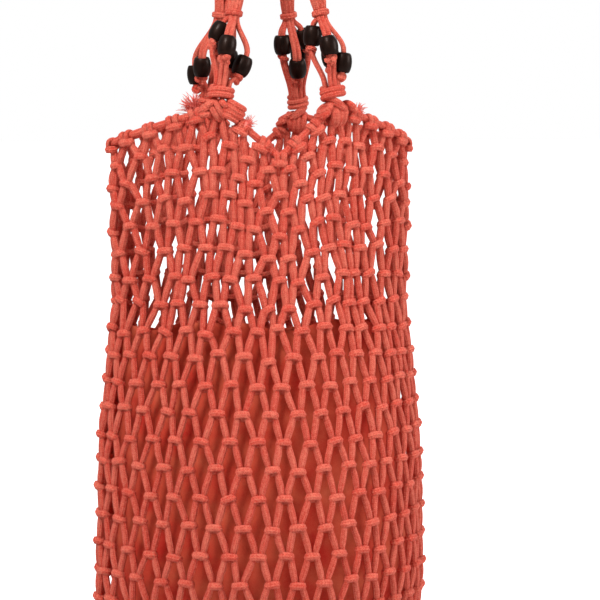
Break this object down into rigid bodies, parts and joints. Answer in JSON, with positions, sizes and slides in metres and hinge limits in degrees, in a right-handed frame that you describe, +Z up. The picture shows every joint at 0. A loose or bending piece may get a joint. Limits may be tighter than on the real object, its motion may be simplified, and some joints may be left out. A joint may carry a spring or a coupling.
{
  "type": "string shopping bag",
  "caption": "Open knotted cotton string bag with a cloth lining, gathered corners, wooden beads on its strands and cord handle loops, shown hanging.",
  "frame": {"origin": "underside of the tops of the two handle loops, where they bear on what the bag hangs from", "axes": "+Z up, -Y the front with the lower notch in view, +X to the right seen from the front"},
  "size_m": [0.2966, 0.2224, 0.803],
  "materials": {
    "cord": "matte knitted cotton cord, coral red",
    "lining": "matte woven cotton, coral orange",
    "bead_wood": "satin stained wood, near black brown"
  },
  "bodies": {
    "root": {"net_body": "cord", "rim_cord": "cord", "lining": "lining", "handle_front": "cord", "handle_back": "cord", "gather_front_left": "cord", "strands_front_left": "cord", "wrap_front_left": "cord", "bead_front_left_upper": "bead_wood", "bead_front_left_middle": "bead_wood", "bead_front_left_rear": "bead_wood", "bead_front_left_lower": "bead_wood", "gather_front_right": "cord", "strands_front_right": "cord", "wrap_front_right": "cord", "bead_front_right_upper": "bead_wood", "bead_front_right_middle": "bead_wood", "bead_front_right_rear": "bead_wood", "bead_front_right_lower": "bead_wood", "gather_back_left": "cord", "strands_back_left": "cord", "wrap_back_left": "cord", "bead_back_left_upper": "bead_wood", "bead_back_left_middle": "bead_wood", "bead_back_left_rear": "bead_wood", "bead_back_left_lower": "bead_wood", "gather_back_right": "cord", "strands_back_right": "cord", "wrap_back_right": "cord", "bead_back_right_upper": "bead_wood", "bead_back_right_middle": "bead_wood", "bead_back_right_rear": "bead_wood", "bead_back_right_lower": "bead_wood"}
  },
  "joints": []
}
